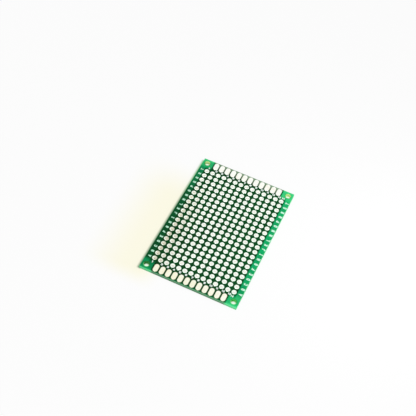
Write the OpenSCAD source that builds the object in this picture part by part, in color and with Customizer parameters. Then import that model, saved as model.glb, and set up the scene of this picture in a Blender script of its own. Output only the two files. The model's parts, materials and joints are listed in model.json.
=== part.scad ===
// Double-sided prototype board: a drilled laminate with a grid of plated through-holes.
// The board lies flat. X runs along the columns, Y from row A to the last row, Z is up.
// The origin is the middle of the plane that the board rests on, under its lower pads.

/* [Board] */
// Width of the board, across the columns
board_w = 40; // [38:0.5:60]
// Length of the board, along the rows
board_l = 60; // [58:0.5:80]
// Thickness of the glass and epoxy laminate, without the pads
laminate_t = 1.5; // [0.7:0.1:3]

/* [Hole grid] */
// Number of columns of plated holes
columns = 14; // [4:1:14]
// Number of rows of plated holes, one letter each
rows = 20; // [4:1:20]
// Spacing of the holes, both ways
pitch = 2.54; // [2.4:0.01:2.6]
// Bore of a plated hole, which a lead passes through
hole_d = 1; // [0.7:0.05:1.2]
// Thickness of the metal that lines a hole
plating_t = 0.03; // [0.02:0.005:0.05]
// Diameter of the round pad at each mouth of a hole
pad_d = 1.9; // [1.7:0.05:2.1]
// Height of every pad above the laminate
pad_t = 0.05; // [0.04:0.005:0.1]
// Bevel at the rim and at the mouth of a pad, where the tin thins out
pad_bevel = 0.03; // [0.01:0.005:0.035]

/* [End pads] */
// Length of an oblong end pad, along the board
end_pad_l = 3.6; // [2.6:0.1:4.2]
// Width of an oblong end pad
end_pad_w = 1.95; // [1.5:0.05:2.1]
// Bare strip between the end pads and the edge of the board
end_pad_margin = 0.2; // [0.1:0.05:0.8]

/* [Mounting holes] */
// Diameter of the bare hole in each corner
mount_hole_d = 2.2; // [1.8:0.1:2.4]
// Distance of the mounting holes from the two nearest edges
mount_inset = 2; // [1.8:0.1:2.2]
// Width of the ring round a mounting hole that the mask leaves bare
mount_relief = 0.2; // [0.2:0.05:0.5]

/* [Solder mask] */
// Thickness of the solder mask on each face
mask_t = 0.03; // [0.02:0.005:0.035]
// Clearance between a pad and the mask round it
mask_gap = 0.05; // [0.02:0.01:0.1]

/* [Hidden] */
LETTERS = "abcdefghijklmnopqrst";
ROW_NODES = [for (r = [0 : rows - 1]) str("hole_row_", LETTERS[r])];

$fn = 32;
NEAR = -1;
FAR = 1;

// Heights of the faces, from the plane that the lower pads rest on
laminate_z = pad_t;
laminate_top_z = laminate_z + laminate_t;
board_top_z = laminate_top_z + pad_t;

hole_r = hole_d / 2;
drill_r = hole_r + plating_t;
pad_r = pad_d / 2;
mount_hole_r = mount_hole_d / 2;
end_pad_y = board_l / 2 - end_pad_margin - end_pad_l / 2;

mask_color = [0.08, 0.36, 0.2];
laminate_color = [0.62, 0.72, 0.5];
tin_color = [0.86, 0.86, 0.84];

function column_x(c) = (c - (columns - 1) / 2) * pitch;
function row_y(r) = (r - (rows - 1) / 2) * pitch;

// Places its children at every hole of the grid
module at_grid() {
    for (r = [0 : rows - 1], c = [0 : columns - 1])
        translate([column_x(c), row_y(r)]) children();
}

// Places its children at the middle of every end pad of one end
module at_end_pads(end) {
    for (c = [1 : columns - 2])
        translate([column_x(c), end * end_pad_y]) children();
}

// Places its children at the four mounting holes
module at_mounts() {
    for (sx = [-1, 1], sy = [NEAR, FAR])
        translate([sx * (board_w / 2 - mount_inset), sy * (board_l / 2 - mount_inset)]) children();
}

// Outline of an end pad, with round ends, grown all round by a margin
module end_pad_outline(margin) {
    straight = end_pad_l - end_pad_w;
    square([end_pad_w + 2 * margin, straight], center = true);
    for (end = [NEAR, FAR])
        translate([0, end * straight / 2]) circle(end_pad_w / 2 + margin);
}

// The drilled core, which everything else is plated or printed on
module laminate() {
    color(laminate_color)
        translate([0, 0, laminate_z])
            linear_extrude(laminate_t)
                difference() {
                    square([board_w, board_l], center = true);
                    at_grid() circle(drill_r);
                    at_mounts() circle(mount_hole_r);
                }
}

// One film of solder mask, open round every pad and mounting hole
module solder_mask(z) {
    color(mask_color)
        translate([0, 0, z])
            linear_extrude(mask_t)
                difference() {
                    square([board_w, board_l], center = true);
                    at_grid() circle(pad_r + mask_gap);
                    at_mounts() circle(mount_hole_r + mount_relief);
                    for (end = [NEAR, FAR])
                        at_end_pads(end) end_pad_outline(mask_gap);
                }
}

module top_solder_mask() solder_mask(laminate_top_z);

module bottom_solder_mask() solder_mask(laminate_z - mask_t);

// Half of a plated hole's section: the barrel through the laminate, and a pad at each mouth
module plated_hole_section() {
    polygon([
        [hole_r, pad_bevel],
        [hole_r + pad_bevel, 0],
        [pad_r - pad_bevel, 0],
        [pad_r, pad_bevel],
        [pad_r, laminate_z],
        [drill_r, laminate_z],
        [drill_r, laminate_top_z],
        [pad_r, laminate_top_z],
        [pad_r, board_top_z - pad_bevel],
        [pad_r - pad_bevel, board_top_z],
        [hole_r + pad_bevel, board_top_z],
        [hole_r, board_top_z - pad_bevel]
    ]);
}

// One lettered row of plated holes, each a separate piece of metal
module plated_row(r) {
    color(tin_color)
        for (c = [0 : columns - 1])
            translate([column_x(c), row_y(r), 0])
                rotate_extrude() plated_hole_section();
}

// One oblong pad on the plane z = 0, with its rim bevelled all round
module end_pad() {
    straight = end_pad_l - end_pad_w;
    body_t = pad_t - pad_bevel;
    r = end_pad_w / 2;
    linear_extrude(body_t) end_pad_outline(0);
    translate([0, straight / 2, body_t])
        rotate([90, 0, 0])
            linear_extrude(straight)
                polygon([[-r, 0], [r, 0], [r - pad_bevel, pad_bevel], [pad_bevel - r, pad_bevel]]);
    for (end = [NEAR, FAR])
        translate([0, end * straight / 2, body_t])
            cylinder(h = pad_bevel, r1 = r, r2 = r - pad_bevel);
}

// The pads at one end of the upper face
module top_pads(end) {
    color(tin_color)
        translate([0, 0, laminate_top_z])
            at_end_pads(end) end_pad();
}

// The pads at one end of the lower face, turned over
module bottom_pads(end) {
    color(tin_color)
        translate([0, 0, laminate_z])
            at_end_pads(end) mirror([0, 0, 1]) end_pad();
}

module near_top_pads() top_pads(NEAR);

module far_top_pads() top_pads(FAR);

module near_bottom_pads() bottom_pads(NEAR);

module far_bottom_pads() bottom_pads(FAR);

laminate();
top_solder_mask();
bottom_solder_mask();
near_top_pads();
far_top_pads();
near_bottom_pads();
far_bottom_pads();
for (r = [0 : rows - 1])
    plated_row(r);
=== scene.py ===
"""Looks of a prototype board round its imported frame: camera, light, materials and printed index marks."""
import json
import math

import bmesh
import bpy
from mathutils import Matrix, Vector
from mathutils.geometry import delaunay_2d_cdt


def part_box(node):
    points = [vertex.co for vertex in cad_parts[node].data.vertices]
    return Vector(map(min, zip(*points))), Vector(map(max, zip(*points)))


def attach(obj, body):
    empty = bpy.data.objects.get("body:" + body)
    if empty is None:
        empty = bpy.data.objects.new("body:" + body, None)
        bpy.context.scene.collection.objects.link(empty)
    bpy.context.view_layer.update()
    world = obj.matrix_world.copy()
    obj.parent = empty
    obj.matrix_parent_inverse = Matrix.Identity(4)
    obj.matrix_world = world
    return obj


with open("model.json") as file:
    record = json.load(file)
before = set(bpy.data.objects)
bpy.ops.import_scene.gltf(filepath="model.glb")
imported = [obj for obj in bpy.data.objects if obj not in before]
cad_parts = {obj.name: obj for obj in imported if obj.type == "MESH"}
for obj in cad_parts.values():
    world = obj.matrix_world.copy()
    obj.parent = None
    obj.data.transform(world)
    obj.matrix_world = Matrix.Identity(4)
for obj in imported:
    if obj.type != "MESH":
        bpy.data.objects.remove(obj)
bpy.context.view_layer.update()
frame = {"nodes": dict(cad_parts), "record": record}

MM = 0.001
BODY = "root"

# The photograph's frame and lens, in pixels
IMAGE_PX = 416
FOCAL_PX = 909.1
SENSOR_MM = 36
# Where the camera stands and the point of the board's upper face that it looks at, in millimetres
CAMERA_MM = Vector((57.39, -202.51, 288.62))
LOOK_AT_MM = Vector((-8.29, 7.02, 1.6))
CAMERA_ROLL_DEG = 8.68

# Index marks, in millimetres
LEFT_LETTER_HEIGHT = 0.9
RIGHT_LETTER_HEIGHT = 1.17
LETTER_WIDTH = 0.51
LETTER_STROKE = 0.37
NUMERAL_HEIGHT = 0.66
NUMERAL_WIDTH = 0.54
NUMERAL_STROKE = 0.33
NUMERAL_GAP = 0.06
# What each digit keeps of its width and stroke in a number of two, and how far such a number moves aside
TWO_DIGITS = 0.8
TWO_DIGITS_SHIFT = 0.1
LEFT_LETTER_INSET = 1.41
RIGHT_LETTER_INSET = 0.86
# How far a numeral lies beside its column and from the end of the board: the inner ones, then the outer two
NEAR_NUMERALS = ((1.23, 4.4), (0.07, 3.95))
FAR_NUMERALS = ((1.05, 4.23), (0.32, 4.1))
INK_THICKNESS = 0.008
CAP_STEPS = 5
# The join of the strokes gives the triangles inside their outlines, and takes points this close for one
INSIDE = 1
JOIN_TOLERANCE = 0.0001

# Strokes of each mark on a grid 4 wide and 6 high
ROUND = [(3, 6), (1, 6), (0, 5), (0, 1), (1, 0), (3, 0), (4, 1), (4, 5), (3, 6)]
BOWL = [(0, 6), (3, 6), (4, 5), (4, 4), (3, 3), (0, 3)]
STROKES = {
    "A": [[(0, 0), (2, 6)], [(2, 6), (4, 0)], [(0.8, 2), (3.2, 2)]],
    "B": [[(0, 0), (0, 6)], BOWL, [(3, 3), (4, 2), (4, 1), (3, 0), (0, 0)]],
    "C": [[(4, 5), (3, 6), (1, 6), (0, 5), (0, 1), (1, 0), (3, 0), (4, 1)]],
    "D": [[(0, 0), (0, 6), (2.5, 6), (4, 4.5), (4, 1.5), (2.5, 0), (0, 0)]],
    "E": [[(4, 6), (0, 6), (0, 0), (4, 0)], [(0, 3), (3, 3)]],
    "F": [[(4, 6), (0, 6), (0, 0)], [(0, 3), (3, 3)]],
    "G": [[(4, 5), (3, 6), (1, 6), (0, 5), (0, 1), (1, 0), (3, 0), (4, 1), (4, 3), (2, 3)]],
    "H": [[(0, 0), (0, 6)], [(4, 0), (4, 6)], [(0, 3), (4, 3)]],
    "I": [[(2, 0), (2, 6)], [(1, 0), (3, 0)], [(1, 6), (3, 6)]],
    "J": [[(4, 6), (4, 1), (3, 0), (1, 0), (0, 1)]],
    "K": [[(0, 0), (0, 6)], [(4, 6), (0, 2)], [(1.5, 3.5), (4, 0)]],
    "L": [[(0, 6), (0, 0), (4, 0)]],
    "M": [[(0, 0), (0, 6)], [(0, 6), (2, 3)], [(2, 3), (4, 6)], [(4, 6), (4, 0)]],
    "N": [[(0, 0), (0, 6)], [(0, 6), (4, 0)], [(4, 0), (4, 6)]],
    "O": [ROUND],
    "P": [[(0, 0), (0, 6)], BOWL],
    "Q": [ROUND, [(2.3, 1.7), (4, 0)]],
    "R": [[(0, 0), (0, 6)], BOWL, [(2, 3), (4, 0)]],
    "S": [[(4, 5), (3, 6), (1, 6), (0, 5), (0, 4), (1, 3), (3, 3), (4, 2), (4, 1), (3, 0), (1, 0), (0, 1)]],
    "T": [[(2, 0), (2, 6)], [(0, 6), (4, 6)]],
    "0": [ROUND],
    "1": [[(0.8, 5), (2, 6), (2, 0)]],
    "2": [[(0, 5), (1, 6), (3, 6), (4, 5), (4, 4), (0, 0)], [(0, 0), (4, 0)]],
    "3": [[(0, 5), (1, 6), (3, 6), (4, 5), (4, 4), (3, 3), (1.5, 3)],
          [(3, 3), (4, 2), (4, 1), (3, 0), (1, 0), (0, 1)]],
    "4": [[(3, 0), (3, 6)], [(3, 6), (0, 2)], [(0, 2), (4, 2)]],
    "5": [[(4, 6), (0, 6), (0, 3.5), (3, 3.5), (4, 2.5), (4, 1), (3, 0), (1, 0), (0, 1)]],
    "6": [[(3.5, 6), (1.5, 6), (0, 4.5), (0, 1), (1, 0), (3, 0), (4, 1), (4, 2.3), (3, 3.3), (0, 3.3)]],
    "7": [[(0, 6), (4, 6)], [(4, 6), (1.5, 0)]],
    "8": [[(3, 6), (1, 6), (0, 5), (0, 4), (1, 3), (3, 3), (4, 4), (4, 5), (3, 6)],
          [(1, 3), (0, 2), (0, 1), (1, 0), (3, 0), (4, 1), (4, 2), (3, 3)]],
    "9": [[(0.5, 0), (2.5, 0), (4, 1.5), (4, 5), (3, 6), (1, 6), (0, 5), (0, 3.7), (1, 2.7), (4, 2.7)]],
}
GRID_WIDTH = 4
GRID_HEIGHT = 6
# Share of the full width that a mark takes, where it is narrower
NARROW = {"1": 0.22}


# The sizes of the board in millimetres, read from the frame apart from COLUMNS and MOUNT_INSET


def box_mm(name):
    """Lowest and highest corners of a node in millimetres."""
    low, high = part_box(name)
    return low / MM, high / MM


LAMINATE_LOW, LAMINATE_HIGH = box_mm("laminate")
ROW_NAMES = sorted(n for n in frame["nodes"] if n.startswith("hole_row_"))
COLUMNS = 14
ROW_LOW, ROW_HIGH = box_mm(ROW_NAMES[0])
PAD_R = (ROW_HIGH.y - ROW_LOW.y) / 2
PITCH = (ROW_HIGH.x - ROW_LOW.x - 2 * PAD_R) / (COLUMNS - 1)
HALF_W = LAMINATE_HIGH.x
HALF_L = LAMINATE_HIGH.y
END_PAD_LOW, END_PAD_HIGH = box_mm("far_top_pads")
UPPER_FACE = box_mm("top_solder_mask")[1].z
LOWER_FACE = box_mm("bottom_solder_mask")[0].z
MIDDLE_Z = (LAMINATE_LOW.z + LAMINATE_HIGH.z) / 2
# From the middle of a screw hole to the two nearest edges
MOUNT_INSET = 2


def column_x(number):
    """X of a column of holes, numbered from 1."""
    return ROW_LOW.x + PAD_R + (number - 1) * PITCH


def row_y(name):
    """Y of a row of holes."""
    low, high = box_mm(name)
    return (low.y + high.y) / 2


# Node material helpers

NOISE_ROUGHNESS = 0.55


class Shader:
    """A material's node tree, with short calls that add a node and give back its output."""

    def __init__(self, name):
        self.material = bpy.data.materials.new(name)
        self.material.use_nodes = True
        self.tree = self.material.node_tree
        self.surface = self.tree.nodes["Principled BSDF"]

    def add(self, kind, *values, **settings):
        """Adds a node with its settings, and values or links on its inputs in order."""
        made = self.tree.nodes.new("ShaderNode" + kind)
        for key, value in settings.items():
            setattr(made, key, value)
        for socket, value in zip(made.inputs, values):
            self.put(socket, value)
        return made

    def put(self, socket, value):
        """Links an output to a socket, or sets the socket's own value."""
        if isinstance(value, bpy.types.NodeSocket):
            self.tree.links.new(value, socket)
        elif value is not None:
            socket.default_value = value

    def set(self, **values):
        """Sets inputs of the surface by name, with underscores for spaces."""
        for key, value in values.items():
            self.put(self.surface.inputs[key.replace("_", " ")], value)

    def math(self, operation, *values):
        """A sum, product or other result of one or more numbers."""
        return self.add("Math", *values, operation=operation).outputs[0]

    def place(self):
        """The point of the object in millimetres."""
        where = self.add("TexCoord").outputs["Object"]
        scaled = self.add("VectorMath", where, operation="SCALE")
        scaled.inputs["Scale"].default_value = 1 / MM
        return scaled.outputs[0]

    def noise(self, place, scale, detail=3.0):
        """Cloudy noise about 0.5, with its scale in 1 / mm."""
        made = self.add("TexNoise", place)
        made.inputs["Scale"].default_value = scale
        made.inputs["Detail"].default_value = detail
        made.inputs["Roughness"].default_value = NOISE_ROUGHNESS
        return made.outputs["Fac"]

    def ramp(self, value, low, high, to_low=0.0, to_high=1.0):
        """Goes smoothly from one value to another while the input goes from low to high."""
        made = self.add("MapRange", value, low, high, to_low, to_high, interpolation_type="SMOOTHSTEP")
        return made.outputs[0]

    def mix(self, factor, one, two):
        """Blends two colours."""
        made = self.add("Mix", data_type="RGBA")
        self.put(made.inputs["Factor"], factor)
        self.put(made.inputs[6], one)
        self.put(made.inputs[7], two)
        return made.outputs[2]

    def shade(self, colour, factor):
        """Multiplies a colour by a number."""
        made = self.add("VectorMath", operation="SCALE")
        self.put(made.inputs[0], colour if isinstance(colour, bpy.types.NodeSocket) else colour[:3])
        self.put(made.inputs["Scale"], factor)
        return made.outputs[0]

    def bump(self, height, distance_mm):
        """A normal for a height, of which 1 stands for the distance."""
        made = self.add("Bump")
        made.inputs["Strength"].default_value = 1
        made.inputs["Distance"].default_value = distance_mm * MM
        self.put(made.inputs["Height"], height)
        return made.outputs[0]


def rgb(r, g, b):
    """A linear colour from one written as it looks, from 0 to 255."""
    def linear(c):
        c /= 255
        return c / 12.92 if c <= 0.04045 else ((c + 0.055) / 1.055) ** 2.4
    return (linear(r), linear(g), linear(b), 1)


# Materials

# The mask by the light that comes through from under it, from between the pads to the brightest corner
MASK_TONES = (
    (0.0, rgb(2, 66, 22)),
    (0.3, rgb(3, 90, 44)),
    (0.75, rgb(14, 162, 96)),
    (1.0, rgb(44, 190, 112)),
    (1.3, rgb(70, 222, 138)),
)
# Between the end pads at the far end, which lie under the brightest light
STRIP_TONE = rgb(110, 134, 102)
STRIP_END = rgb(176, 206, 170)
STRIP_SHARE = 0.6
WEAVE_PITCH = 0.9

# Light that comes through the thin board: in its middle, and what the right edge has more and the left less.
# What the far end has more, and what it has on top of that at the left and less at the right
LIGHT_MIDDLE = 0.5
LIGHT_RIGHT = 0.3
LIGHT_FAR = 0.19
LIGHT_FAR_LEFT = 0.15
# Share of it that is left over the ground between the pads
LIGHT_BETWEEN_PADS = 0.13
# What the corners have more, on the whole, to the left and to the far end
CORNER_LIFT = 0.33
CORNER_LIFT_LEFT = 0.09
CORNER_LIFT_FAR = 0.08
# What the mask has more beside the near screw holes, at the ends of the board and at its long edges
SCREW_LIFT = 0.14
END_LIFT = 0.3
EDGE_LIFT = 0.1


def weave(shader, x, y):
    """A plain weave of glass yarn, from 0 to 1."""
    turn = 2 * math.pi / WEAVE_PITCH
    across = shader.math("SINE", shader.math("MULTIPLY", x, turn))
    along = shader.math("SINE", shader.math("MULTIPLY", y, turn))
    return shader.math("MULTIPLY_ADD", shader.math("MULTIPLY", across, along), 0.5, 0.5)


def drift(shader, x, y):
    """How much light comes through: more to the right, and more to the far end, above all at the left."""
    far_share = shader.math("MULTIPLY_ADD", x, -LIGHT_FAR_LEFT / HALF_W, LIGHT_FAR)
    far = shader.math("MULTIPLY", shader.ramp(y, 0.0, 0.8 * HALF_L), far_share)
    return shader.math("MULTIPLY_ADD", x, LIGHT_RIGHT / HALF_W, shader.math("ADD", far, LIGHT_MIDDLE))


def solder_mask_material():
    """Glossy green film, darker among the pads and lighter where light comes through from under it."""
    s = Shader("solder_mask")
    place = s.place()
    parts = s.add("SeparateXYZ", place).outputs
    across = s.math("ABSOLUTE", parts["X"])
    along = s.math("ABSOLUTE", parts["Y"])
    pads_end = column_x(COLUMNS) + PAD_R
    side = s.ramp(across, pads_end, pads_end + 0.6)
    past_rows = s.ramp(along, END_PAD_LOW.y - 2.0, END_PAD_LOW.y + 0.8)
    corner = s.math("MULTIPLY", past_rows, s.ramp(across, END_PAD_HIGH.x + 0.1, END_PAD_HIGH.x + 0.8))
    lift = s.math("MULTIPLY_ADD", parts["Y"], CORNER_LIFT_FAR / HALF_L, CORNER_LIFT)
    lift = s.math("MULTIPLY_ADD", parts["X"], -CORNER_LIFT_LEFT / HALF_W, lift)
    bare = s.math("MAXIMUM", side, corner)
    bare = s.math("MULTIPLY_ADD", bare, 1 - LIGHT_BETWEEN_PADS, LIGHT_BETWEEN_PADS)
    through = s.math("MULTIPLY", bare, drift(s, parts["X"], parts["Y"]))
    through = s.math("MULTIPLY_ADD", corner, lift, through)
    past_near_pads = s.math("ADD", parts["Y"], END_PAD_LOW.y)
    by_screw = s.math("MULTIPLY", side, s.ramp(past_near_pads, -1.6, -0.2))
    by_screw = s.math("MULTIPLY", by_screw, s.ramp(past_near_pads, 0.6, 1.8, 1.0, 0.0))
    through = s.math("MULTIPLY_ADD", by_screw, SCREW_LIFT, through)
    through = s.math("MULTIPLY_ADD", s.ramp(along, HALF_L - 1.0, HALF_L - 0.2), END_LIFT, through)
    through = s.math("MULTIPLY_ADD", s.ramp(across, HALF_W - 0.3, HALF_W), EDGE_LIFT, through)
    cloud = s.noise(place, 0.18, 2.0)
    grain = s.noise(place, 2.2, 4.0)
    yarn = weave(s, parts["X"], parts["Y"])
    colour = MASK_TONES[0][1]
    for (low, _), (high, tone) in zip(MASK_TONES, MASK_TONES[1:]):
        colour = s.mix(s.ramp(through, low, high), colour, tone)
    far_strip = s.math(
        "MULTIPLY",
        s.ramp(parts["Y"], END_PAD_LOW.y + 0.2, END_PAD_LOW.y + 1.2, 0.0, STRIP_SHARE),
        s.math("LESS_THAN", across, END_PAD_HIGH.x + 0.1),
    )
    strip_tone = s.mix(s.ramp(parts["Y"], END_PAD_LOW.y + 0.8, HALF_L + 0.2), STRIP_TONE, STRIP_END)
    colour = s.mix(far_strip, colour, strip_tone)
    colour = s.shade(colour, s.ramp(cloud, 0.3, 0.7, 0.88, 1.12))
    colour = s.shade(colour, s.ramp(yarn, 0.0, 1.0, 0.95, 1.05))
    colour = s.shade(colour, s.ramp(grain, 0.3, 0.7, 0.93, 1.07))
    height = s.math("MULTIPLY_ADD", yarn, 0.6, s.math("MULTIPLY", grain, 0.4))
    s.set(
        Base_Color=colour,
        Roughness=s.ramp(grain, 0.3, 0.7, 0.24, 0.36),
        Specular_IOR_Level=0.06,
        Normal=s.bump(height, 0.004),
    )
    return s.material


TIN = rgb(252, 254, 247)
TIN_WARM = rgb(249, 246, 232)
TIN_CREAM = rgb(247, 244, 216)
# Round the near end pads, where the solder thins out
TIN_THIN = rgb(176, 186, 146)
# On the flat of the round pads towards their rim
TIN_RIM = rgb(246, 255, 247)
# Inside the holes, with painted shade at the left edge and the plain tone elsewhere, and darker painted
# shade deep inside those at the near left
BARREL = (rgb(250, 248, 236), rgb(254, 252, 245))
BARREL_DEEP_SHADE = rgb(168, 150, 128)
BARREL_DEEP_SHADE_SHARE = 0.9
# How much of the thin tone the rim of a near end pad takes, and how much darker the leftmost round pads are
# painted, as shade
THIN_SHARE = 0.75
LEFT_PAD_SHADE = 0.31


def in_cell(shader, coordinate):
    """How far a coordinate lies past the middle line of the nearest row or column of holes."""
    cells = shader.math("FRACT", shader.math("DIVIDE", coordinate, PITCH))
    return shader.math("MULTIPLY", shader.math("SUBTRACT", cells, 0.5), PITCH)


def thin_rim(shader, parts):
    """From 0 inside the near end pads to the full share at their outline."""
    half_w = END_PAD_HIGH.x - column_x(COLUMNS - 1)
    half_l = (END_PAD_HIGH.y - END_PAD_LOW.y) / 2
    from_middle = shader.math("ABSOLUTE", shader.math("ADD", parts["Y"], END_PAD_LOW.y + half_l))
    past_straight = shader.math("MAXIMUM", shader.math("SUBTRACT", from_middle, half_l - half_w), 0.0)
    way = shader.add("CombineXYZ", in_cell(shader, parts["X"]), past_straight).outputs[0]
    distance = shader.add("VectorMath", way, operation="LENGTH").outputs["Value"]
    rim = shader.ramp(distance, half_w - 0.2, half_w - 0.02, 0.0, THIN_SHARE)
    return shader.math("MULTIPLY", rim, shader.math("LESS_THAN", parts["Y"], 0.5 - END_PAD_LOW.y))


def tin_material():
    """Hot-levelled solder: bright, a little uneven, and warmer where it is thin, with painted shade in the
    holes and on the leftmost round pads.
    """
    s = Shader("tinned_copper")
    place = s.place()
    parts = s.add("SeparateXYZ", place).outputs
    patch = s.noise(place, 0.55, 3.0)
    grain = s.noise(place, 6.0, 4.0)
    near_end = s.math("MULTIPLY", s.ramp(parts["Y"], -END_PAD_LOW.y - 0.6, -END_PAD_LOW.y + 0.4, 1.0, 0.0),
                      s.ramp(parts["X"], -HALF_W, HALF_W, 1.0, 0.5))
    from_middle = s.math("ABSOLUTE", s.math("SUBTRACT", parts["Z"], MIDDLE_Z))
    inside = s.ramp(from_middle, UPPER_FACE - MIDDLE_Z - 0.25, UPPER_FACE - MIDDLE_Z, 1.0, 0.0)
    colour = s.mix(s.ramp(patch, 0.42, 0.72), TIN, TIN_WARM)
    near_end = s.math("MULTIPLY", near_end, s.ramp(patch, 0.35, 0.6, 0.55, 1.1))
    colour = s.mix(near_end, colour, TIN_CREAM)
    pad_x, pad_y = in_cell(s, parts["X"]), in_cell(s, parts["Y"])
    in_pad = s.add("CombineXYZ", pad_x, pad_y).outputs[0]
    from_hole = s.add("VectorMath", in_pad, operation="LENGTH").outputs["Value"]
    round_pads = s.math("LESS_THAN", s.math("ABSOLUTE", parts["Y"]), END_PAD_LOW.y - 0.5)
    ring = s.math("MULTIPLY", s.ramp(from_hole, 0.45, PAD_R - 0.15), round_pads)
    colour = s.mix(ring, colour, TIN_RIM)
    colour = s.mix(thin_rim(s, parts), colour, TIN_THIN)
    # Painted shade in the bores: darker at the left edge, and darker still low in the holes at the near left
    barrel = s.mix(s.ramp(parts["X"], -0.9 * HALF_W, -0.6 * HALF_W), *BARREL)
    deep = s.math("MULTIPLY", s.ramp(parts["X"], -0.9 * HALF_W, -0.2 * HALF_W, BARREL_DEEP_SHADE_SHARE, 0.1),
                  s.ramp(parts["Y"], -0.7 * HALF_L, 0.8 * HALF_L, 1.0, 0.1))
    deep = s.math("MULTIPLY", deep, s.ramp(parts["Z"], MIDDLE_Z - 0.5, MIDDLE_Z + 0.2, 1.0, 0.0))
    colour = s.mix(inside, colour, s.mix(deep, barrel, BARREL_DEEP_SHADE))
    # Painted shade on the leftmost round pads: strongest on the right and far side of each pad and at its
    # rim, and tinted cream
    turned = s.ramp(s.math("MULTIPLY_ADD", pad_y, 0.4, pad_x), -0.5, 0.5, 0.0, 1.1)
    turned = s.math("MAXIMUM", turned, s.ramp(from_hole, PAD_R - 0.25, PAD_R))
    pad_shade = s.math("MULTIPLY", s.ramp(parts["X"], -0.95 * HALF_W, -0.35 * HALF_W, LEFT_PAD_SHADE, 0.0),
                 s.ramp(parts["Y"], -0.4 * HALF_L, 0.8 * HALF_L, 1.0, 0.0))
    pad_shade = s.math("MULTIPLY", pad_shade, turned)
    pad_shade = s.math("MULTIPLY", s.math("MULTIPLY", pad_shade, round_pads), s.math("SUBTRACT", 1.0, inside))
    colour = s.mix(s.math("MULTIPLY", pad_shade, 2.5), colour, TIN_CREAM)
    colour = s.shade(colour, s.math("SUBTRACT", 1.0, pad_shade))
    s.set(
        Base_Color=colour,
        Metallic=1.0,
        Roughness=s.ramp(grain, 0.3, 0.7, 0.2, 0.34),
        Normal=s.bump(s.math("MULTIPLY_ADD", grain, 0.25, patch), 0.05),
    )
    return s.material


# Bare faces and the walls of the screw holes, well inside the board and close to its edge, where the bright
# tones are painted light that comes through the thin board
BARE_FACE = rgb(36, 116, 56)
PAD_GAP = rgb(96, 212, 128)
END_PAD_GAP = rgb(20, 70, 35)
BARE_FACE_EDGE_LIGHT = rgb(122, 248, 140)
BARE_WALL = rgb(62, 162, 78)
BARE_WALL_EDGE_LIGHT = rgb(242, 255, 184)
# The cut edges of the board at the foot, greyer with painted shade, and under the upper mask, greener where
# the mask lies on them; beside the pads and then at the corners, where painted light that comes through
# makes them brighter
CUT = (rgb(97, 144, 106), rgb(99, 167, 122))
CUT_CORNER_LIGHT = (rgb(111, 205, 145), rgb(104, 235, 158))
# Height of a layer of glass
PLY = 0.19
# Distance from the ends of the board over which the light of the cut edge fades
EDGE_GLOW_MM = (1.0, 2.4)
# Brightness of the bare laminate and of its cut edges: what the light that comes through adds, and the least
INNER_LIGHT = (2.1, 0.42)
CUT_LIGHT = (0.3, 0.85)


def laminate_material():
    """Glass and epoxy: layered on the cut edges, and lighter where light comes through from close by."""
    s = Shader("laminate")
    place = s.place()
    parts = s.add("SeparateXYZ", place).outputs
    across = s.math("ABSOLUTE", parts["X"])
    along = s.math("ABSOLUTE", parts["Y"])
    outside = s.math(
        "MAXIMUM",
        s.math("GREATER_THAN", across, HALF_W - 0.02),
        s.math("GREATER_THAN", along, HALF_L - 0.02),
    )
    from_middle = s.math("ABSOLUTE", s.math("SUBTRACT", parts["Z"], MIDDLE_Z))
    flat = s.math("GREATER_THAN", from_middle, LAMINATE_HIGH.z - MIDDLE_Z - 0.005)
    from_edge = s.math("SUBTRACT", HALF_L, along)
    glow = s.ramp(from_edge, *EDGE_GLOW_MM, 1.0, 0.0)
    swirl = s.noise(place, 0.7, 2.0)
    grain = s.noise(place, 7.0, 5.0)
    layer = s.math("MULTIPLY_ADD", parts["Z"], 2 * math.pi / PLY, s.math("MULTIPLY", swirl, 2.5))
    plies = s.math("MULTIPLY_ADD", s.math("SINE", layer), 0.5, 0.5)
    mottle = s.math("MULTIPLY_ADD", plies, 0.5, s.math("MULTIPLY", grain, 0.4))
    # Painted shade greys the foot of the cut edges, and painted light brightens them at the corners
    corner = s.ramp(across, END_PAD_HIGH.x - 0.4, END_PAD_HIGH.x + 0.6)
    upper = s.ramp(parts["Z"], MIDDLE_Z - 0.3, MIDDLE_Z + 0.5)
    cut = s.mix(corner, s.mix(upper, *CUT), s.mix(upper, *CUT_CORNER_LIGHT))
    cut = s.shade(cut, s.ramp(mottle, 0.1, 0.8, 0.92, 1.06))
    through = drift(s, parts["X"], parts["Y"])
    inner_light = s.math("MULTIPLY_ADD", through, *INNER_LIGHT)
    # Painted light that comes through the board: on bare faces and walls by how much comes through, and
    # brightest close to the ends
    face = s.mix(glow, s.shade(BARE_FACE, inner_light), BARE_FACE_EDGE_LIGHT)
    face = s.mix(s.math("LESS_THAN", across, END_PAD_HIGH.x + 0.2), face, END_PAD_GAP)
    face = s.mix(s.math("LESS_THAN", along, END_PAD_LOW.y - 0.3), face, PAD_GAP)
    wall = s.mix(glow, s.shade(BARE_WALL, inner_light), BARE_WALL_EDGE_LIGHT)
    bare = s.shade(s.mix(flat, wall, face), s.ramp(grain, 0.3, 0.7, 0.92, 1.0))
    cut = s.shade(cut, s.math("MULTIPLY_ADD", through, *CUT_LIGHT))
    colour = s.mix(outside, bare, cut)
    s.set(
        Base_Color=colour,
        Roughness=s.ramp(grain, 0.3, 0.7, 0.45, 0.7),
        Specular_IOR_Level=0.12,
        Normal=s.bump(s.math("ADD", plies, grain), 0.012),
    )
    return s.material


INK = rgb(240, 255, 247)
# Along the left and the right edge, where the green light of the bare board shows through the ink
INK_AT_EDGES = (rgb(200, 255, 224), rgb(213, 255, 233))


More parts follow.
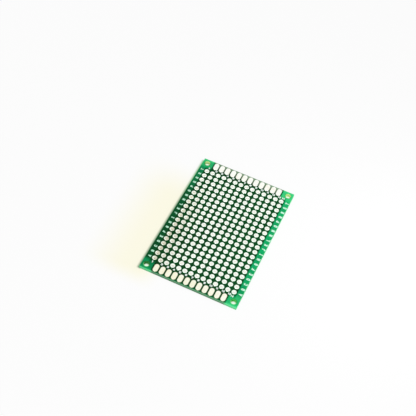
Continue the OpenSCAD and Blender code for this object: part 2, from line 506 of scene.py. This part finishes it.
def ink_material():
    """White printing ink, thinner in places so that the green shows a little."""
    s = Shader("marking_ink")
    place = s.place()
    patch = s.noise(place, 3.5, 4.0)
    x = s.add("SeparateXYZ", place).outputs["X"]
    at_edge = s.ramp(s.math("ABSOLUTE", x), column_x(COLUMNS) + 0.4, column_x(COLUMNS) + 1.2)
    colour = s.mix(at_edge, INK, s.mix(s.math("GREATER_THAN", x, 0.0), *INK_AT_EDGES))
    s.set(
        Base_Color=s.shade(colour, s.ramp(patch, 0.5, 0.78, 1.0, 0.88)),
        Roughness=s.ramp(patch, 0.3, 0.7, 0.5, 0.7),
        Specular_IOR_Level=0.3,
        Normal=s.bump(patch, 0.004),
    )
    return s.material


def dress_nodes():
    """Gives every node of the frame its material."""
    looks = {
        "laminate": laminate_material(),
        "solder_mask": solder_mask_material(),
        "tinned_copper": tin_material(),
    }
    for part in frame["record"]["subparts"]:
        piece = frame["nodes"][part["node"]]
        piece.data.materials.clear()
        piece.data.materials.append(looks[part["material_slot"]])


# Index marks


def capsule(start, end, half):
    """Outline of one straight piece of a stroke, with round ends."""
    way = end - start
    turn = math.atan2(way.y, way.x) + math.pi / 2
    outline = []
    for centre, first in ((start, turn), (end, turn + math.pi)):
        angles = [first + math.pi * k / CAP_STEPS for k in range(CAP_STEPS + 1)]
        outline += [centre + half * Vector((math.cos(a), math.sin(a))) for a in angles]
    return outline


def joined(outlines):
    """The area that the outlines cover together, as points and triangles."""
    points, faces = [], []
    for outline in outlines:
        faces.append(list(range(len(points), len(points) + len(outline))))
        points += outline
    points, _, triangles, _, _, sources = delaunay_2d_cdt(points, [], faces, INSIDE, JOIN_TOLERANCE)
    return points, [t for t, source in zip(triangles, sources) if source]


def slab(mesh, points, triangles, to_world):
    """A closed layer of ink over the triangles."""
    used = sorted({i for t in triangles for i in t})
    lower = {i: mesh.verts.new(to_world(points[i], 0)) for i in used}
    upper = {i: mesh.verts.new(to_world(points[i], INK_THICKNESS)) for i in used}
    sides = [side for a, b, c in triangles for side in ((a, b), (b, c), (c, a))]
    inner = set(sides)
    for a, b, c in triangles:
        mesh.faces.new((upper[a], upper[b], upper[c]))
        mesh.faces.new((lower[c], lower[b], lower[a]))
    for a, b in sides:
        if (b, a) not in inner:
            mesh.faces.new((lower[a], lower[b], upper[b], upper[a]))


def draw_mark(mesh, text, size, to_world):
    """Prints a short text as strokes of ink. to_world places a point of the text's own plane."""
    width, height, stroke = size
    if len(text) > 1:
        width *= TWO_DIGITS
        stroke *= TWO_DIGITS
    widths = [width * NARROW.get(letter, 1) + stroke for letter in text]
    start = -(sum(widths) + (len(text) - 1) * NUMERAL_GAP) / 2
    for k, letter in enumerate(text):
        middle = start + sum(widths[:k]) + k * NUMERAL_GAP + widths[k] / 2
        outlines = []
        for stroke_points in STROKES[letter]:
            points = [
                Vector((middle + (x / GRID_WIDTH - 0.5) * width, (y / GRID_HEIGHT - 0.5) * height))
                for x, y in stroke_points
            ]
            outlines += [capsule(a, b, stroke / 2) for a, b in zip(points, points[1:])]
        slab(mesh, *joined(outlines), to_world)


def upper_place(x, y, turned):
    """Puts a mark's own plane on the upper face at x, y. Turned, it reads from the near to the far end."""
    def place(point, z):
        u, v = (-point.y, point.x) if turned else (point.x, point.y)
        return Vector((x + u, y + v, UPPER_FACE + z)) * MM
    return place


def lower_place(x, y, turned):
    """The same for the lower face, seen from below with the near end near."""
    def place(point, z):
        u, v = (-point.y, point.x) if turned else (point.x, point.y)
        return Vector((x - u, y + v, LOWER_FACE - z)) * MM
    return place


def print_marks(name, marks, size, ink):
    """One piece that holds several marks, each a text and its place."""
    mesh = bmesh.new()
    for text, to_world in marks:
        draw_mark(mesh, text, size, to_world)
    bmesh.ops.recalc_face_normals(mesh, faces=mesh.faces)
    data = bpy.data.meshes.new(name)
    mesh.to_mesh(data)
    mesh.free()
    data.materials.append(ink)
    piece = bpy.data.objects.new(name, data)
    bpy.context.scene.collection.objects.link(piece)
    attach(piece, BODY)


def letters(place, x):
    """The letter of each row at one long edge."""
    return [(name.split("_")[-1].upper(), place(x, row_y(name), True)) for name in ROW_NAMES]


def numerals(place, end, way, places):
    """The number of each column at one end: the outer two beside their hole, the rest between two pads."""
    marks = []
    for number in range(1, COLUMNS + 1):
        shift, inset = places[0 if 1 < number < COLUMNS else 1]
        if len(str(number)) > 1 and number < COLUMNS:
            shift += TWO_DIGITS_SHIFT
        marks.append((str(number), place(column_x(number) + way * shift, end * (HALF_L - inset), False)))
    return marks


def print_index():
    """All the index marks of both faces."""
    ink = ink_material()
    left = (LETTER_WIDTH, LEFT_LETTER_HEIGHT, LETTER_STROKE)
    right = (LETTER_WIDTH, RIGHT_LETTER_HEIGHT, LETTER_STROKE)
    numeral = (NUMERAL_WIDTH, NUMERAL_HEIGHT, NUMERAL_STROKE)
    print_marks("left_row_letters", letters(upper_place, LEFT_LETTER_INSET - HALF_W), left, ink)
    print_marks("right_row_letters", letters(upper_place, HALF_W - RIGHT_LETTER_INSET), right, ink)
    print_marks("lower_row_letters", letters(lower_place, HALF_W - LEFT_LETTER_INSET), left, ink)
    for end, side, places in ((-1, "near", NEAR_NUMERALS), (1, "far", FAR_NUMERALS)):
        print_marks(side + "_numerals", numerals(upper_place, end, 1, places), numeral, ink)
        print_marks("lower_" + side + "_numerals", numerals(lower_place, end, -1, places), numeral, ink)


# Camera, floor and light

FLOOR_SIZE = 4.0
# Share of the floor's own tone in what the camera sees of it, and the grey that takes the shadow
FLOOR_SHARE = 0.93
FLOOR_GREY = 0.9
# Light of the world on the board
AMBIENT = 0.41
FLOOR_WHITE = rgb(255, 255, 255)
# Left of the board the floor is painted cream, as warm light reflected onto it. The tone comes in and goes
# out again across, and then along the board
FLOOR_CREAM_REFLECTION = rgb(254, 251, 230)
CREAM_IN_X = (-2.3 * HALF_W, -1.2 * HALF_W)
CREAM_OUT_X = (-HALF_W, -0.5 * HALF_W)
CREAM_IN_Y = (-1.3 * HALF_L, -HALF_L)
CREAM_OUT_Y = (0.2 * HALF_L, 0.9 * HALF_L)
# A soft shadow lies along the left edge, from the near to the far end
FLOOR_SHADOW = (rgb(60, 126, 82), rgb(110, 178, 108))
SHADOW_WIDTH = 1.6
# The floor seen through a screw hole, at its middle, and by its wall from the near left to the far right:
# painted shade by the wall at the near left that turns to painted green light from the wall at the far right
FLOOR_IN_HOLE = rgb(246, 255, 244)
FLOOR_WALL_SHADE_AND_LIGHT = (rgb(92, 156, 92), rgb(228, 255, 172))
IN_HOLE_FADE = (0.4, 1.4)
IN_HOLE_R = 1.6


def sees_backdrop(shader_tree):
    """1 for rays from the camera, a reflection or glass, and 0 for the light that falls on things."""
    path = shader_tree.nodes.new("ShaderNodeLightPath")
    both = shader_tree.nodes.new("ShaderNodeMath")
    both.operation = "MAXIMUM"
    shader_tree.links.new(path.outputs["Is Camera Ray"], both.inputs[0])
    shader_tree.links.new(path.outputs["Is Glossy Ray"], both.inputs[1])
    every = shader_tree.nodes.new("ShaderNodeMath")
    every.operation = "MAXIMUM"
    shader_tree.links.new(both.outputs[0], every.inputs[0])
    shader_tree.links.new(path.outputs["Is Transmission Ray"], every.inputs[1])
    return every.outputs[0]


def set_camera():
    """The photograph's camera, with a square sensor."""
    data = bpy.data.cameras.new("camera")
    data.sensor_width = SENSOR_MM
    data.lens = SENSOR_MM * FOCAL_PX / IMAGE_PX
    data.clip_start = 0.01
    camera = bpy.data.objects.new("camera", data)
    aim = (LOOK_AT_MM - CAMERA_MM).to_track_quat("-Z", "Y").to_matrix().to_4x4()
    roll = Matrix.Rotation(math.radians(CAMERA_ROLL_DEG), 4, "Z")
    camera.matrix_world = Matrix.Translation(CAMERA_MM * MM) @ aim @ roll
    bpy.context.scene.collection.objects.link(camera)
    bpy.context.scene.camera = camera


def set_world():
    """White for the camera and for reflections, softer for the light that it gives."""
    world = bpy.data.worlds.new("world")
    bpy.context.scene.world = world
    world.use_nodes = True
    tree = world.node_tree
    light = tree.nodes["Background"]
    light.inputs["Strength"].default_value = AMBIENT
    light.inputs["Color"].default_value = (1, 1, 1, 1)
    seen = tree.nodes.new("ShaderNodeBackground")
    seen.inputs["Color"].default_value = (1, 1, 1, 1)
    mixed = tree.nodes.new("ShaderNodeMixShader")
    tree.links.new(sees_backdrop(tree), mixed.inputs[0])
    tree.links.new(light.outputs[0], mixed.inputs[1])
    tree.links.new(seen.outputs[0], mixed.inputs[2])
    tree.links.new(mixed.outputs[0], tree.nodes["World Output"].inputs[0])


def floor_tones(s):
    """White, with the painted cream reflection, the painted shadow and the painted shade and light of the
    screw holes at their places.
    """
    x, y = s.add("SeparateXYZ", s.place()).outputs[:2]
    across, along = s.math("ABSOLUTE", x), s.math("ABSOLUTE", y)
    # Painted cream reflected light left of the board
    cream = s.ramp(x, *CREAM_IN_X)
    cream = s.math("MULTIPLY", cream, s.ramp(x, *CREAM_OUT_X, 1.0, 0.0))
    cream = s.math("MULTIPLY", cream, s.ramp(y, *CREAM_OUT_Y, 1.0, 0.0))
    cream = s.math("MULTIPLY", cream, s.ramp(y, *CREAM_IN_Y))
    colour = s.mix(cream, FLOOR_WHITE, FLOOR_CREAM_REFLECTION)
    beside = s.ramp(x, -HALF_W - SHADOW_WIDTH, -HALF_W - 0.1)
    beside = s.math("MULTIPLY", beside, s.math("LESS_THAN", x, -HALF_W + 0.5))
    beside = s.math("MULTIPLY", beside, s.ramp(along, HALF_L - 0.4, HALF_L + 0.6, 1.0, 0.0))
    colour = s.mix(beside, colour, s.mix(s.ramp(y, 0.1 * HALF_L, 0.8 * HALF_L), *FLOOR_SHADOW))
    # Painted shade and light on the floor seen through the screw holes
    hole_x = s.math("SUBTRACT", across, HALF_W - MOUNT_INSET)
    hole_y = s.math("SUBTRACT", along, HALF_L - MOUNT_INSET)
    from_hole = s.add("CombineXYZ", hole_x, hole_y).outputs[0]
    distance = s.add("VectorMath", from_hole, operation="LENGTH").outputs["Value"]
    side = s.math("MULTIPLY_ADD", x, 0.25 / HALF_W, s.math("MULTIPLY_ADD", y, 0.4 / HALF_L, 0.45))
    wall_shade_and_light = s.mix(s.ramp(side, 0.0, 1.0), *FLOOR_WALL_SHADE_AND_LIGHT)
    in_hole = s.mix(s.ramp(distance, *IN_HOLE_FADE), FLOOR_IN_HOLE, wall_shade_and_light)
    return s.mix(s.math("LESS_THAN", distance, IN_HOLE_R), colour, in_hole)


def set_floor():
    """A pale floor at the plane the board rests on, which keeps a faint shadow."""
    mesh = bmesh.new()
    bmesh.ops.create_grid(mesh, x_segments=1, y_segments=1, size=FLOOR_SIZE / 2)
    data = bpy.data.meshes.new("floor")
    mesh.to_mesh(data)
    mesh.free()
    floor = bpy.data.objects.new("floor", data)
    bpy.context.scene.collection.objects.link(floor)
    s = Shader("floor")
    tree = s.tree
    tree.nodes.remove(s.surface)
    matt = tree.nodes.new("ShaderNodeBsdfDiffuse")
    matt.inputs["Color"].default_value = (FLOOR_GREY, FLOOR_GREY, FLOOR_GREY, 1)
    glow = tree.nodes.new("ShaderNodeEmission")
    s.put(glow.inputs["Color"], floor_tones(s))
    share = tree.nodes.new("ShaderNodeMath")
    share.operation = "MULTIPLY"
    share.inputs[1].default_value = FLOOR_SHARE
    mixed = tree.nodes.new("ShaderNodeMixShader")
    tree.links.new(sees_backdrop(tree), share.inputs[0])
    tree.links.new(share.outputs[0], mixed.inputs[0])
    tree.links.new(matt.outputs[0], mixed.inputs[1])
    tree.links.new(glow.outputs[0], mixed.inputs[2])
    tree.links.new(mixed.outputs[0], tree.nodes["Material Output"].inputs[0])
    data.materials.append(s.material)


def add_lamp(name, place_mm, size_mm, power):
    """A square soft lamp that faces the middle of the board."""
    data = bpy.data.lights.new(name, "AREA")
    data.size = size_mm * MM
    data.energy = power
    lamp = bpy.data.objects.new(name, data)
    place = Vector(place_mm)
    aim = (-place).to_track_quat("-Z", "Y").to_matrix().to_4x4()
    lamp.matrix_world = Matrix.Translation(place * MM) @ aim
    bpy.context.scene.collection.objects.link(lamp)


def set_lamps():
    """A key lamp from the right and a broad soft one from the near side."""
    add_lamp("key_lamp", (85, 15, 70), 50, 0.056)
    add_lamp("fill_lamp", (-120, -520, 380), 400, 1.7)


set_camera()
set_world()
set_floor()
set_lamps()
dress_nodes()
print_index()

bpy.context.scene.view_settings.view_transform = "Standard"
